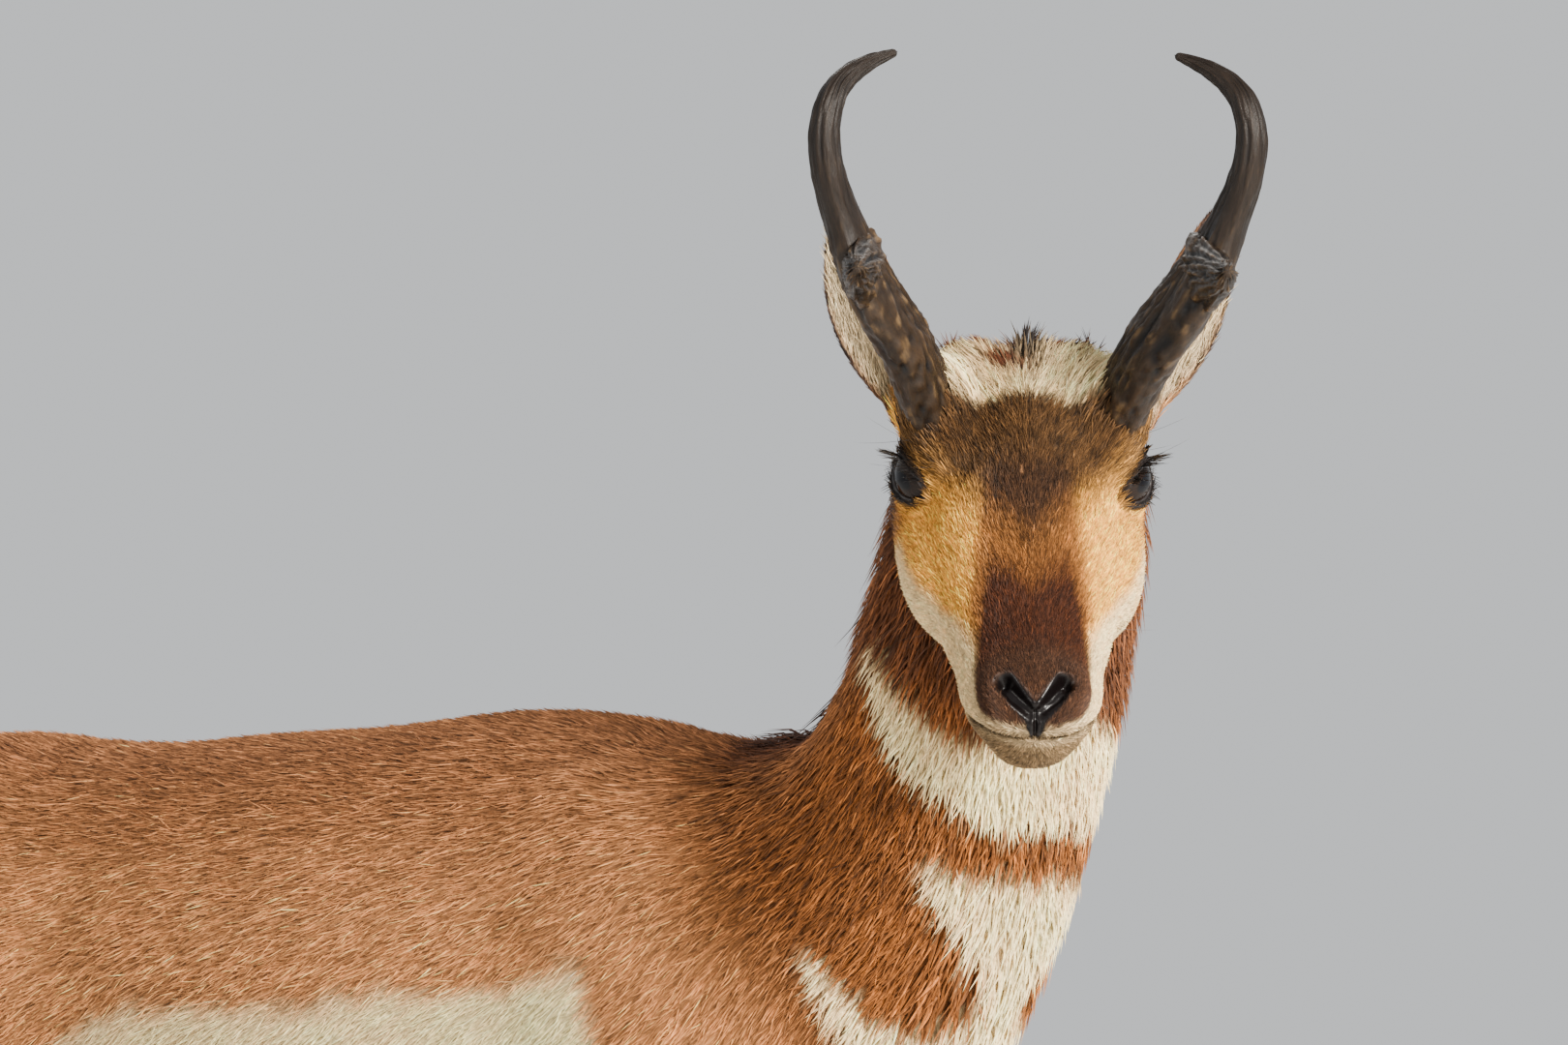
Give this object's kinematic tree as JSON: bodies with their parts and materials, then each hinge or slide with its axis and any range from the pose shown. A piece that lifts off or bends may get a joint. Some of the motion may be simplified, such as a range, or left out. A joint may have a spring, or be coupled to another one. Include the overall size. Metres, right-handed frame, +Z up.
{
  "type": "pronghorn",
  "caption": "Standing hoofed animal with forked black horns and a cloven hoof on each leg, its head turned to look over the right shoulder; a still, life-size museum model.",
  "frame": {"origin": "on the ground under the middle of the model's box", "axes": "+X runs forward along the back towards the chest, +Y to the animal's left, +Z up; the head is turned about 50 degrees to the right of +X"},
  "size_m": [1.1556, 0.3672, 1.2591],
  "materials": {
    "coat": "short dense tan hair, matt",
    "pale_coat": "short white hair, matt",
    "face_coat": "very short brown and tan hair, matt",
    "horn": "black keratin, satin, rough at the root",
    "hoof": "black keratin, satin",
    "eye": "near-black, wet gloss"
  },
  "bodies": {
    "root": {"belly": "coat", "chest": "coat", "ear_left": "pale_coat", "ear_right": "pale_coat", "eye_left": "eye", "eye_right": "eye", "foreleg_left_cannon": "coat", "foreleg_left_pastern": "coat", "foreleg_left_upper": "coat", "foreleg_right_cannon": "coat", "foreleg_right_pastern": "coat", "foreleg_right_upper": "coat", "head": "face_coat", "hindleg_left_cannon": "coat", "hindleg_left_pastern": "coat", "hindleg_left_upper": "coat", "hindleg_right_cannon": "coat", "hindleg_right_pastern": "coat", "hindleg_right_upper": "coat", "hoof_foreleg_left_inner": "hoof", "hoof_foreleg_left_outer": "hoof", "hoof_foreleg_right_inner": "hoof", "hoof_foreleg_right_outer": "hoof", "hoof_hindleg_left_inner": "hoof", "hoof_hindleg_left_outer": "hoof", "hoof_hindleg_right_inner": "hoof", "hoof_hindleg_right_outer": "hoof", "horn_left": "horn", "horn_right": "horn", "neck_lower": "coat", "neck_upper": "coat", "rump": "coat", "tail": "pale_coat"}
  },
  "joints": []
}
